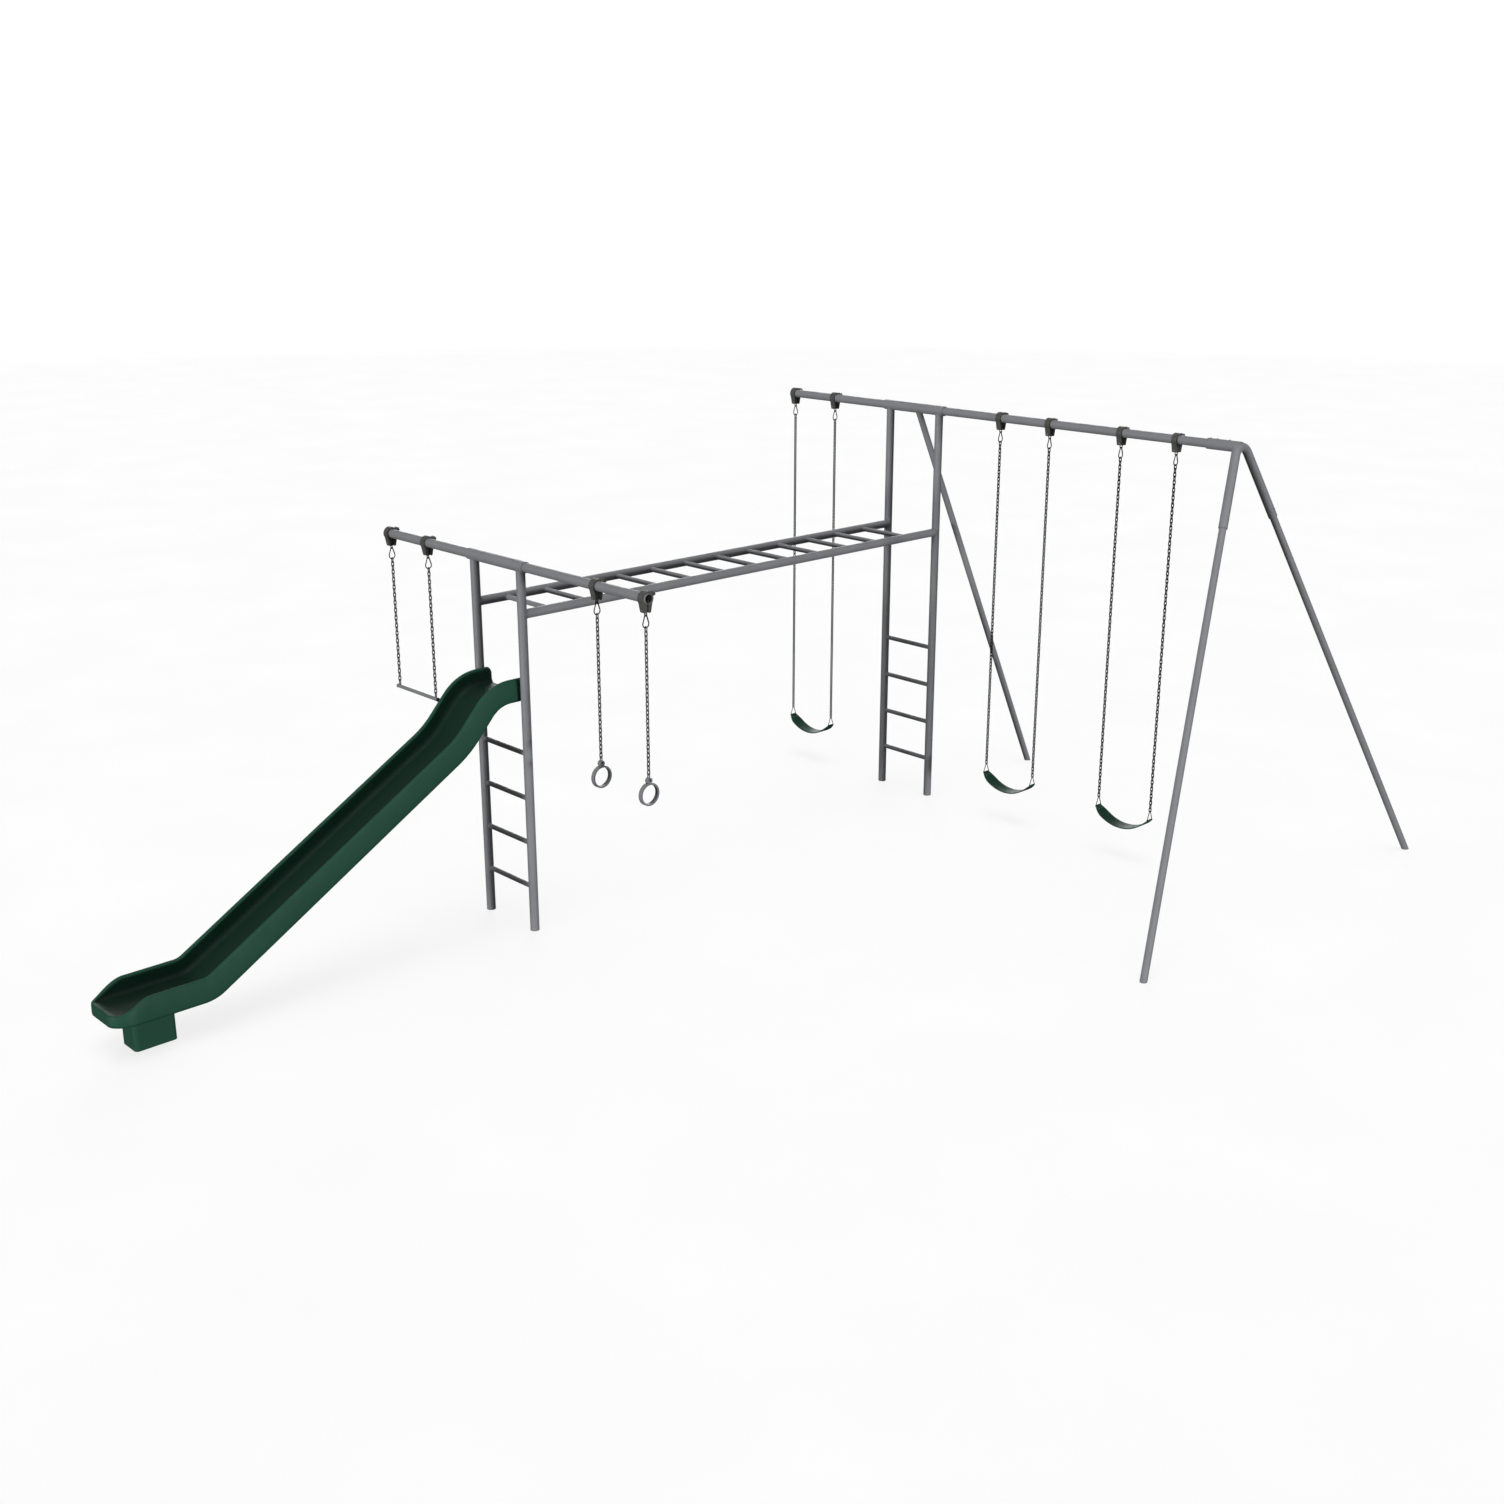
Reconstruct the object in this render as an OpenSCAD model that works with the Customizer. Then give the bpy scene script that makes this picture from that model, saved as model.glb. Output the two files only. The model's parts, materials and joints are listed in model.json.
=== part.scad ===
// Pipe-frame swing set: two ladders joined by monkey bars, an A-frame, three belt swings,
// a trapeze bar, a pair of gym rings and a moulded slide.
// Millimetres, +Z up, origin on the ground under the middle of the whole set.
// +X runs along the two beams, +Y runs along the monkey bars and away from the slide.

/* [Frame] */
// Distance between the axes of a ladder's two posts
post_spacing = 492; // [430:1:620]
// Distance between the front and rear ladders, axis to axis
ladder_distance = 3920; // [3000:10:4800]
// Height of the front beam's axis
front_beam_height = 2447; // [2300:1:2900]
// Height of the rear beam's axis
rear_beam_height = 3063; // [2800:1:3600]
// Front beam, from the ladder's middle to its open left end
front_beam_left = 1245; // [1245:1:1600]
// Front beam, from the ladder's middle to its open right end
front_beam_right = 1478; // [1478:1:1800]
// Rear beam, from the ladder's middle to its left end
rear_beam_left = 1316; // [1316:1:1700]
// Height of the monkey bars' rails
rail_height = 2140; // [1700:10:2290]

/* [Tubes] */
// Outside diameter of posts, beams and rails
pipe_d = 60.3; // [48:0.1:66]
// Wall of posts, beams and rails
pipe_wall = 2.6; // [2:0.1:4]
// Outside diameter of the sleeves and of the beam socket
sleeve_d = 73; // [70:0.5:80]
// Gap between a beam and the sleeve or socket round it
slip = 0.65; // [0.4:0.05:1]
// How far the sleeve on top of each ladder sticks out past its posts
sleeve_overhang = 24; // [15:1:60]
// Outside diameter of the A-frame's legs and of the brace
leg_d = 48.3; // [42:0.1:50]
// Wall of the legs and of the brace
leg_wall = 2.6; // [2:0.1:4]
// Outside diameter of ladder rungs and monkey bars
rung_d = 33.4; // [25:0.1:38]
// Wall of the rungs
rung_wall = 2.6; // [2:0.1:4]

/* [Ladders and monkey bars] */
// Distance from one ladder rung to the next, and from the ground to the first
rung_pitch = 305; // [250:1:340]
// Rungs on each ladder
rung_count = 4; // [3:1:4]
// Distance from the front ladder to the first monkey bar
first_bar = 225; // [150:5:400]
// Distance from one monkey bar to the next
bar_pitch = 307; // [250:1:330]

/* [A-frame] */
// From the rear ladder's middle to the A-frame's crown
crown_x = 2836; // [2700:1:3200]
// Angle of each leg from the line down the middle of the A-frame
leg_splay = 27.3; // [20:0.1:32]
// Lean of the A-frame away from the ladder
frame_lean = 11.9; // [5:0.1:18]
// Bend radius of the crown's top, on the tube's axis
crown_bend = 80; // [70:1:140]
// Straight length of the crown below its bend
crown_straight = 505; // [300:5:700]
// How far a leg goes up into the crown
leg_insert = 180; // [100:5:250]
// Length of the socket that holds the rear beam
socket_length = 250; // [180:5:320]
// From the rear ladder's middle to the brace's foot, across and back
brace_foot = [240, 1302]; // [0:1:1500]
// Where the brace meets the sleeve, from the ladder's middle
brace_top_x = 30; // [-60:1:60]

/* [Hangers] */
// Distance between the two hangers of a belt swing
swing_width = 447; // [400:1:520]
// Middle of each belt swing, from the rear ladder's middle
swing_x = [-1066, 1064, 2125]; // [-1066:1:2200]
// Distance between the trapeze's hangers
trapeze_width = 440; // [380:1:520]
// Middle of the trapeze, from the front ladder's middle
trapeze_x = -1001; // [-1001:1:-700]
// Distance between the two gym rings
ring_width = 448; // [400:1:560]
// Middle of the gym rings, from the front ladder's middle
ring_x = 1223; // [1000:1:1223]
// Width of a hanger clamp along the beam
clamp_width = 42; // [30:1:50]
// Wall of a hanger clamp round the beam
clamp_wall = 13.5; // [10:0.5:18]
// Diameter of the clamp's bolts
bolt_d = 8; // [6:0.5:10]
// Wire of the hanger eyes
eye_wire = 6; // [5:0.5:7]
// Wire of the snap hooks
hook_wire = 7; // [5:0.5:8]
// Outside width of a snap hook
hook_width = 52; // [40:1:60]
// Outside height of a snap hook
hook_height = 84; // [70:1:100]
// Outside width of a chain link
chain_width = 20; // [15:0.5:24]

/* [Belt swings] */
// Height of the bars that carry a belt seat
seat_height = 340; // [300:1:700]
// Width of a belt seat, front to back
belt_width = 118; // [100:1:160]
// Thickness of a belt seat
belt_thickness = 9; // [6:0.5:12]
// How far a belt seat sags between its two ends
belt_sag = 100; // [60:1:140]
// Wire of the triangles that carry a belt seat
delta_wire = 6; // [5:0.5:8]
// Outside width of a triangle
delta_width = 64; // [56:1:80]
// Outside height of a triangle
delta_height = 76; // [60:1:100]

/* [Trapeze and rings] */
// Height of the trapeze bar's axis
trapeze_height = 1371; // [1000:1:1600]
// Diameter of the trapeze bar
trapeze_d = 25.4; // [22:0.1:32]
// Length of the trapeze bar between its end caps
trapeze_length = 482; // [470:1:600]
// Height of a gym ring's middle
ring_height = 1257; // [900:1:1500]
// Outside diameter of a gym ring
ring_d = 142; // [120:1:180]
// Thickness of a gym ring, inside to outside
ring_band = 12; // [9:0.5:16]
// Width of a gym ring along its own axis
ring_depth = 25; // [18:0.5:32]

/* [Slide] */
// Width of the slide over its walls
slide_width = 406; // [380:1:410]
// Height of the slide's walls over its underside, square to the bed
slide_wall_height = 154; // [120:1:180]
// Thickness of the slide's rolled walls
slide_wall = 27; // [22:1:32]
// Thickness of the slide's double-walled bed
slide_bed = 56; // [40:1:64]
// Height of the slide's underside where it leaves the ladder
slide_entry_height = 1562; // [1300:1:1700]
// Height of the slide's underside at the exit
slide_exit_height = 212; // [180:1:300]
// Slope of the long straight chute
chute_slope = 30.6; // [25:0.1:36]
// Slope of the short steep drop under the entry
drop_slope = 48; // [44:0.5:52]
// Length of the level run-out after the chute
run_out = 545; // [400:5:800]
// Length over which the walls drop to the lip at the exit
lip_length = 220; // [160:5:260]
// Radius of the exit's two corners, seen from above
lip_corner = 105; // [50:5:130]
// Width of the slide's foot
foot_width = 174; // [120:1:220]
// Length of the slide's foot
foot_length = 258; // [180:1:320]
// Distance from the slide's lip to its foot
foot_setback = 150; // [120:1:300]

/* [Hidden] */

$fn = 48;
steel = "gray";
cast = "dimgray";
black_steel = "black";
green = "darkgreen";

weld_gap = 0.05;
bend_step = 0.1;
rail_gap = 0.25;
fit_gap = 0.3;
pipe_r = pipe_d / 2;
sleeve_r = sleeve_d / 2;
sleeve_bore_r = pipe_r + slip;
leg_r = leg_d / 2;
rung_r = rung_d / 2;
post_x = post_spacing / 2;
ground_reach = 2 * ladder_distance + crown_x;
plug_height = 8;
sleeve_length = post_spacing + pipe_d + 2 * sleeve_overhang;
bar_count = floor((ladder_distance - 2 * first_bar + 100) / bar_pitch) + 1;

// Hanger geometry, measured down from the beam's axis
clamp_r = pipe_r + fit_gap + clamp_wall;
jaw_gap = eye_wire + 2;
lobe_depth = clamp_r + 31;
lobe_width = 25;
lobe_r = (lobe_width - jaw_gap / 2) / 2;
split_angle = 25;
split_gap = 3;
ear_thickness = 8;
ear_reach = clamp_r + 19;
ear_bolt_at = clamp_r + 9;
bolt_r = bolt_d / 2;
bolt_depth = lobe_depth - 6;
eye_bend = 10;
eye_top = bolt_depth + (eye_bend - eye_wire / 2) - bolt_r - fit_gap;
eye_drop = 24;
hinge_depth = eye_top + eye_drop + eye_bend;
hook_play = 1.2;
hook_top_bend = (eye_wire + hook_wire) / 2 + hook_play;
hook_low_bend = (hook_width - hook_wire) / 2;
hook_span = hook_height - hook_wire - hook_top_bend - hook_low_bend;
chain_depth = hinge_depth + hook_span + hook_width / 2 + fit_gap;
chain_wall = 1.3;

// Belt swing geometry
delta_bend = 5;
delta_rise = delta_height - 2 * delta_bend - delta_wire;
delta_half = delta_width / 2 - delta_bend - delta_wire / 2;
seat_hinge = seat_height + delta_rise + delta_bend;
belt_radius = (pow(swing_width / 2, 2) + pow(belt_sag, 2)) / (2 * belt_sag);
belt_loop_r = 7.5;
belt_loop_length = 2 * delta_half - 4;

// Trapeze and ring geometry
trapeze_eye_bend = 8;
trapeze_top = trapeze_height + trapeze_d / 2 + trapeze_eye_bend + 3;
ring_boss_r = 19;
ring_boss_z = ring_d / 2 + 14;
ring_top = ring_height + ring_boss_z + ring_boss_r;

// A-frame geometry, in its own leaning plane, measured down from the crown's top
plane_height = rear_beam_height / cos(frame_lean);
leg_run = (plane_height - crown_bend * (1 - sin(leg_splay))) / cos(leg_splay);
foot_x = crown_x + rear_beam_height * tan(frame_lean);
foot_y = crown_bend * cos(leg_splay) + leg_run * sin(leg_splay);
crown_bore_r = leg_r + 0.5;

// Slide path: [length, turn, radius] of each stretch, from the ladder to the exit
slide_start = 30;
entry_run = 105;
entry_bend = 190;
drop_run = 162;
drop_bend = 720;
knee_bend = 260;
path_fall = slide_entry_height - slide_exit_height;
bends_fall = entry_bend * (1 - cos(drop_slope)) + drop_run * sin(drop_slope)
    + drop_bend * (cos(chute_slope) - cos(drop_slope)) + knee_bend * (1 - cos(chute_slope));
chute_run = (path_fall - bends_fall) / sin(chute_slope);
slide_reach = -slide_start + entry_run + entry_bend * sin(drop_slope)
    + drop_run * cos(drop_slope) + drop_bend * (sin(drop_slope) - sin(chute_slope))
    + chute_run * cos(chute_slope) + knee_bend * sin(chute_slope) + run_out;

// Middle of the whole set on the ground, in the ladders' coordinates
leg_reach_x = leg_r / cos(frame_lean);
leg_reach_y = leg_r * sqrt(1 - pow(cos(leg_splay) * sin(frame_lean), 2))
    / (cos(leg_splay) * cos(frame_lean));
middle = [(foot_x + leg_reach_x - rear_beam_left) / 2,
          (ladder_distance + foot_y + leg_reach_y - slide_reach) / 2];

swing_hangers = [for (x = swing_x, side = [-1, 1]) x + side * swing_width / 2];
trapeze_hangers = [for (side = [-1, 1]) trapeze_x + side * trapeze_width / 2];
ring_hangers = [for (side = [-1, 1]) ring_x + side * ring_width / 2];

// ---------- Helpers ----------

// Moves from the ladders' coordinates to the set's own origin
module placed() {
    translate([-middle[0], -middle[1], 0]) children();
}

// A hollow tube between two points
module tube(from, to, r, wall) {
    way = to - from;
    translate(from)
        rotate([0, acos(way[2] / norm(way)), atan2(way[1], way[0])])
            difference() {
                cylinder(r = r, h = norm(way));
                translate([0, 0, -1]) cylinder(r = r - wall, h = norm(way) + 2);
            }
}

// A solid rod between two points
module rod(from, to, r) {
    way = to - from;
    translate(from)
        rotate([0, acos(way[2] / norm(way)), atan2(way[1], way[0])])
            cylinder(r = r, h = norm(way));
}

// Turns a flat outline into a plate standing across X: outline x is Y, outline y is Z
module across_x(width) {
    rotate([90, 0, 90]) linear_extrude(height = width, center = true) children();
}

// Everything below the ground
module below_ground() {
    translate([-ground_reach, -ground_reach, -400]) cube([2 * ground_reach, 2 * ground_reach, 400]);
}

// Direction in which the side from corner i of a bent ring faces
function facing(c, r, i) =
    let (j = (i + 1) % len(c), d = c[j] - c[i])
        atan2(d[1], d[0]) - acos((r[i] - r[j]) / norm(d));

// A closed ring of round wire in the XY plane: centres and radii of its corners, anticlockwise
module wire_ring(c, r, wire) {
    n = len(c);
    for (i = [0 : n - 1]) {
        j = (i + 1) % n;
        out = facing(c, r, i);
        before = facing(c, r, (i + n - 1) % n);
        turn = (out - before + 720) % 360;
        translate([c[i][0], c[i][1], 0])
            rotate([0, 0, before])
                rotate_extrude(angle = turn)
                    translate([r[i], 0]) circle(d = wire);
        aim = [cos(out), sin(out), 0];
        lap = 0.5 * [-sin(out), cos(out), 0];
        rod([c[i][0], c[i][1], 0] + r[i] * aim - lap, [c[j][0], c[j][1], 0] + r[j] * aim + lap,
            wire / 2 - bend_step);
    }
}

// Hexagon-head bolt along +Z with its head under z = 0 and a nut above z = grip
module bolt(grip, d) {
    translate([0, 0, -0.65 * d]) cylinder(d = 1.9 * d, h = 0.65 * d, $fn = 6);
    translate([0, 0, -0.1]) cylinder(d = d, h = grip + 0.2);
    translate([0, 0, grip]) cylinder(d = 1.9 * d, h = 0.8 * d, $fn = 6);
    translate([0, 0, grip + 0.7 * d]) cylinder(d = d, h = 0.6 * d);
}

// Puts its children on the beams' axes at every hanger
module at_hangers(swings = true, trapeze = true, rings = true) {
    if (swings) {
        for (x = swing_hangers) translate([x, ladder_distance, rear_beam_height]) children();
    }
    if (trapeze) {
        for (x = trapeze_hangers) translate([x, 0, front_beam_height]) children();
    }
    if (rings) {
        for (x = ring_hangers) translate([x, 0, front_beam_height]) children();
    }
}

// ---------- Ladders and beams ----------

module post(x, y, beam_height) {
    color(steel) placed()
        difference() {
            tube([x, y, 0], [x, y, beam_height], pipe_r, pipe_wall);
            rod([x - 100, y, beam_height], [x + 100, y, beam_height], sleeve_r + weld_gap);
            if (y == 0) slide_bolt_holes();
        }
}

module ladder_rungs(y) {
    color(steel) placed()
        difference() {
            for (k = [1 : rung_count]) {
                tube([-post_x, y, k * rung_pitch], [post_x, y, k * rung_pitch], rung_r, rung_wall);
            }
            for (side = [-1, 1]) {
                translate([side * post_x, y, 0]) cylinder(r = pipe_r + weld_gap, h = front_beam_height);
            }
        }
}

module sleeve(y, beam_height) {
    half = sleeve_length / 2;
    color(steel) placed()
        difference() {
            tube([-half, y, beam_height], [half, y, beam_height], sleeve_r, sleeve_r - sleeve_bore_r);
            sleeve_bolt_holes(y, beam_height);
        }
}

module front_beam() {
    color(steel) placed()
        difference() {
            tube([-front_beam_left, 0, front_beam_height], [front_beam_right, 0, front_beam_height],
                 pipe_r, pipe_wall);
            sleeve_bolt_holes(0, front_beam_height);
        }
}

module rear_beam() {
    color(steel) placed()
        difference() {
            tube([-rear_beam_left, ladder_distance, rear_beam_height],
                 [crown_x - pipe_r - 18, ladder_distance, rear_beam_height], pipe_r, pipe_wall);
            sleeve_bolt_holes(ladder_distance, rear_beam_height);
            socket_bolt_holes();
        }
}

module rail(x) {
    color(steel) placed()
        difference() {
            tube([x, 0, rail_height], [x, ladder_distance, rail_height], pipe_r, pipe_wall);
            for (y = [0, ladder_distance]) {
                translate([x, y, rail_height - 100]) cylinder(r = pipe_r + rail_gap, h = 200);
            }
        }
}

module monkey_bars() {
    color(steel) placed()
        difference() {
            for (k = [0 : bar_count - 1]) {
                y = first_bar + k * bar_pitch;
                tube([-post_x, y, rail_height], [post_x, y, rail_height], rung_r, rung_wall);
            }
            for (side = [-1, 1]) {
                rod([side * post_x, 0, rail_height], [side * post_x, ladder_distance, rail_height],
                    pipe_r + weld_gap);
            }
        }
}

brace_from = [brace_top_x, ladder_distance, rear_beam_height];
brace_to = [brace_foot[0], ladder_distance + brace_foot[1], 0];
brace_past = brace_to + (brace_to - brace_from) * 0.03;

module brace() {
    color(steel) placed()
        difference() {
            tube(brace_from, brace_past, leg_r, leg_wall);
            rod([-200, ladder_distance, rear_beam_height], [300, ladder_distance, rear_beam_height],
                sleeve_r + weld_gap);
            below_ground();
        }
}

// ---------- A-frame ----------

// Moves into the A-frame's leaning plane, with its origin on the crown's top
module leaning() {
    translate([crown_x, ladder_distance, rear_beam_height]) rotate([0, -frame_lean, 0]) children();
}

// Where a leg's axis leaves the crown's bend, and the direction in which it goes down
function leg_start(side) = [0, side * crown_bend * cos(leg_splay), -crown_bend * (1 - sin(leg_splay))];
function leg_way(side) = [0, side * sin(leg_splay), -cos(leg_splay)];
function on_leg(side, run) = leg_start(side) + run * leg_way(side);

// The crown's bend, as a solid arc of the given radius of tube
module crown_arc(r) {
    translate([0, 0, -crown_bend])
        rotate([90, 0, 90]) rotate([0, 0, leg_splay])
            rotate_extrude(angle = 180 - 2 * leg_splay)
                translate([crown_bend, 0]) circle(r = r);
}

module a_frame_crown() {
    color(steel) placed() leaning()
        difference() {
            union() {
                crown_arc(pipe_r);
                for (side = [-1, 1]) {
                    rod(on_leg(side, -0.5), on_leg(side, crown_straight), pipe_r - bend_step);
                }
            }
            crown_arc(crown_bore_r);
            for (side = [-1, 1]) {
                rod(on_leg(side, -0.5), on_leg(side, crown_straight + 1), crown_bore_r + bend_step);
            }
            leg_bolt_holes();
        }
}

module beam_socket() {
    color(steel) placed()
        difference() {
            tube([crown_x - socket_length, ladder_distance, rear_beam_height],
                 [crown_x, ladder_distance, rear_beam_height], sleeve_r, sleeve_r - sleeve_bore_r);
            leaning() crown_arc(pipe_r + weld_gap);
            leaning() for (side = [-1, 1]) rod(on_leg(side, 0), on_leg(side, 100), pipe_r + weld_gap);
            socket_bolt_holes();
        }
}

module leg(side) {
    color(steel) placed()
        difference() {
            leaning()
                tube(on_leg(side, crown_straight - leg_insert), on_leg(side, leg_run + 60), leg_r, leg_wall);
            below_ground();
            leaning() leg_bolt_holes();
        }
}

module plug_slab() {
    translate([-ground_reach, -ground_reach, 0]) cube([2 * ground_reach, 2 * ground_reach, plug_height]);
}

// Plastic plugs that close every tube end standing on the ground
module foot_plugs() {
    color(black_steel) placed() {
        for (x = [-post_x, post_x], y = [0, ladder_distance]) {
            translate([x, y, 0]) cylinder(r = pipe_r - pipe_wall - fit_gap, h = plug_height);
        }
        intersection() {
            plug_slab();
            union() {
                leaning() for (side = [-1, 1]) {
                    rod(on_leg(side, leg_run - 80), on_leg(side, leg_run + 60), leg_r - leg_wall - fit_gap);
                }
                rod((brace_from + brace_to * 19) / 20, brace_past, leg_r - leg_wall - fit_gap);
            }
        }
    }
}

// ---------- Frame bolts and their holes ----------

set_bolt_d = 6;
set_bolt_length = sleeve_r - pipe_r + pipe_wall + 6;
sleeve_bolt_x = [for (side = [-1, 1]) side * (sleeve_length / 2 - 25)];
socket_bolt_x = [crown_x - socket_length + 20, crown_x - socket_length + 70, crown_x - 85];

// Puts its children on a sleeve's far side, pointing at the beam's axis
module at_sleeve_bolts(y, beam_height) {
    for (x = sleeve_bolt_x) {
        translate([x, y + sleeve_r, beam_height]) rotate([90, 0, 0]) children();
    }
}

// Puts its children on top of the socket, pointing down
module at_socket_bolts() {
    for (x = socket_bolt_x) {
        translate([x, ladder_distance, rear_beam_height + sleeve_r]) rotate([180, 0, 0]) children();
    }
}

// Puts its children on the outward face of each crown end, pointing inward
module at_leg_bolts() {
    for (side = [-1, 1]) {
        translate(on_leg(side, crown_straight - 60) + [pipe_r, 0, 0]) rotate([0, -90, 0]) children();
    }
}

module set_bolt() {
    translate([0, 0, -4]) cylinder(d = 11, h = 4, $fn = 6);
    translate([0, 0, -0.1]) cylinder(d = set_bolt_d, h = set_bolt_length);
}

module set_bolt_hole() {
    translate([0, 0, -1]) cylinder(d = set_bolt_d + 2 * fit_gap, h = set_bolt_length + 3);
}

module sleeve_bolt_holes(y, beam_height) {
    at_sleeve_bolts(y, beam_height) set_bolt_hole();
}

module socket_bolt_holes() {
    at_socket_bolts() set_bolt_hole();
}

module leg_bolt_holes() {
    at_leg_bolts() set_bolt_hole();
}

module frame_bolts() {
    color(cast) placed() {
        at_sleeve_bolts(0, front_beam_height) set_bolt();
        at_sleeve_bolts(ladder_distance, rear_beam_height) set_bolt();
        at_socket_bolts() set_bolt();
        leaning() at_leg_bolts() set_bolt();
    }
}

// ---------- Slide ----------

half_slide = slide_width / 2;
wall_lean = 10;
wall_edge = 22;
lip_nose = 18;
lip_flat = 20;
lip_height = slide_bed + 8;
slide_stretches = [[entry_run, 0, 0], [0, drop_slope, entry_bend], [drop_run, 0, 0],
    [0, chute_slope - drop_slope, drop_bend], [chute_run, 0, 0], [0, -chute_slope, knee_bend],
    [run_out - lip_length, 0, 0], [lip_length, 0, 0]];
lip_stretch = len(slide_stretches) - 1;
lip_steps = 18;

// Steps of one stretch: bends in steps of about 6 degrees, the lip in many, others in one
function stretch_steps(i) = i == lip_stretch ? lip_steps : max(1, ceil(abs(slide_stretches[i][1]) / 6));

// Share of a stretch covered after step k: the lip's steps crowd towards its rounded end
function share_at(i, k) = i == lip_stretch ? sin(90 * k / lip_steps) : k / stretch_steps(i);

// Point and slope [y, z, slope] after going a share of a stretch from a start
function along(start, stretch, share) =
    stretch[1] == 0
    ? [start[0] - share * stretch[0] * cos(start[2]), start[1] - share * stretch[0] * sin(start[2]), start[2]]
    : let (sign = stretch[1] > 0 ? 1 : -1, end = start[2] + share * stretch[1])
        [start[0] - sign * stretch[2] * (sin(end) - sin(start[2])),
         start[1] - sign * stretch[2] * (cos(start[2]) - cos(end)), end];

function stretch_start(i) = i == 0 ? [slide_start, slide_entry_height, 0]
    : along(stretch_start(i - 1), slide_stretches[i - 1], 1);

// Every station down the slide: [y, z, slope, distance left to the exit, up to the lip's length]
slide_stations = concat([[slide_start, slide_entry_height, 0, lip_length]],
    [for (i = [0 : lip_stretch], k = [1 : stretch_steps(i)])
        let (share = share_at(i, k), p = along(stretch_start(i), slide_stretches[i], share))
        [p[0], p[1], p[2], lip_length * (i == lip_stretch ? 1 - share : 1)]]);

// How far a rounding of radius r has drawn in at a distance from its end
function drawn_in(r, left) = left >= r ? 0 : r - sqrt(r * r - pow(r - left, 2));

// Height of the walls at a distance from the exit
function wall_height(left) =
    let (rise = max(0, min(1, (left - lip_flat) / (lip_length - lip_flat))))
    lip_height + (slide_wall_height - lip_height) * (1 - cos(180 * rise)) / 2;

// Right half of the slide's section: the outside from the ground up, the rolled rim, the inside down
function right_side(left) =
    let (inset = drawn_in(lip_nose, left), outer = half_slide - drawn_in(lip_corner, left),
         h = wall_height(left) - inset, bed = slide_bed - inset, edge = wall_edge - inset,
         rim = min(slide_wall, h - bed) / 2, top = outer - wall_lean * h / slide_wall_height,
         inside = top - slide_wall, cove = min(36, 0.8 * (h - bed)))
    concat([for (a = [-90 : 22.5 : 0])
               [outer - edge + edge * cos(a), inset + edge + edge * sin(a)]],
           [for (a = [0 : 30 : 180])
               [top - slide_wall / 2 + slide_wall / 2 * cos(a), h - rim + rim * sin(a)]],
           [for (a = [0 : -18 : -90])
               [inside - cove + cove * cos(a), bed + cove + cove * sin(a)]]);

function section(left) = let (right = right_side(left), n = len(right))
    concat(right, [for (i = [n - 1 : -1 : 0]) [-right[i][0], right[i][1]]]);

// A section's points in space at one station
function station_points(s) = [for (p = section(s[3]))
    [p[0], s[0] - p[1] * sin(s[2]), s[1] + p[1] * cos(s[2])]];

module slide_shell() {
    n = len(section(lip_length));
    m = len(slide_stations);
    sides = [for (i = [0 : m - 2], k = [0 : n - 1])
        let (a = i * n + k, b = i * n + (k + 1) % n) [a, b, b + n, a + n]];
    ends = [[for (k = [n - 1 : -1 : 0]) k], [for (k = [0 : n - 1]) (m - 1) * n + k]];
    color(green) placed()
        difference() {
            polyhedron(points = [for (s = slide_stations) each station_points(s)],
                       faces = concat(sides, ends));
            slide_bolt_holes();
        }
}

module slide_foot() {
    round = 24;
    color(green) placed()
        translate([0, foot_setback + foot_length / 2 - slide_reach, 0])
            linear_extrude(height = slide_exit_height - fit_gap)
                hull() for (x = [-1, 1], y = [-1, 1]) {
                    translate([x * (foot_width / 2 - round), y * (foot_length / 2 - round)])
                        circle(r = round);
                }
}

slide_bolt_d = 8;
slide_bolt_x = half_slide - wall_lean - slide_wall - fit_gap;
pipe_bore_r = pipe_r - pipe_wall;
slide_bolt_grip = post_x - sqrt(pow(pipe_bore_r, 2) - pow(slide_bolt_d, 2)) + fit_gap - slide_bolt_x;

// Puts its children inside the slide's walls, pointing out at each front post
module at_slide_bolts() {
    for (side = [-1, 1], up = [102, 131]) {
        translate([side * slide_bolt_x, 0, slide_entry_height + up])
            rotate([0, side * 90, 0]) children();
    }
}

module slide_bolt_holes() {
    at_slide_bolts()
        translate([0, 0, -5]) cylinder(d = slide_bolt_d + 2 * fit_gap, h = slide_bolt_grip + 10);
}

// Heads inside the trough, threaded into a nut behind the near wall of each post
module slide_bolts() {
    color(cast) placed() at_slide_bolts() bolt(slide_bolt_grip, slide_bolt_d);
}

// ---------- Hangers ----------

// The whole clamp's outline across the beam, before it is split into jaws
module clamp_outline() {
    difference() {
        union() {
            circle(r = clamp_r);
            polygon([[-clamp_r + 5, -12], [clamp_r - 5, -12], [lobe_width, -lobe_depth],
                     [-lobe_width, -lobe_depth]]);
            for (side = [-1, 1]) translate([side * (jaw_gap / 2 + lobe_r), -lobe_depth]) circle(r = lobe_r);
            rotate([0, 0, split_angle])
                translate([clamp_r - 8, -ear_thickness - split_gap / 2])
                    square([ear_reach - clamp_r + 8, 2 * ear_thickness + split_gap]);
        }
        circle(r = pipe_r + fit_gap);
        translate([-jaw_gap / 2, -lobe_depth - 40]) square([jaw_gap, lobe_depth + 40]);
        rotate([0, 0, split_angle]) translate([0, -split_gap / 2]) square([ear_reach + 5, split_gap]);
    }
}

// The rear jaw's share of the outline: from the slot underneath round to the split behind
module rear_share() {
    far = 200;
    polygon([[0, 0], [0, -far], [far, -far], [far, far * tan(split_angle)]]);
}

// Puts its children at the bolt through the ears, pointing down through them
module at_ear_bolt() {
    rotate([split_angle, 0, 0])
        translate([0, ear_bolt_at, ear_thickness + split_gap / 2]) rotate([180, 0, 0]) children();
}

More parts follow.
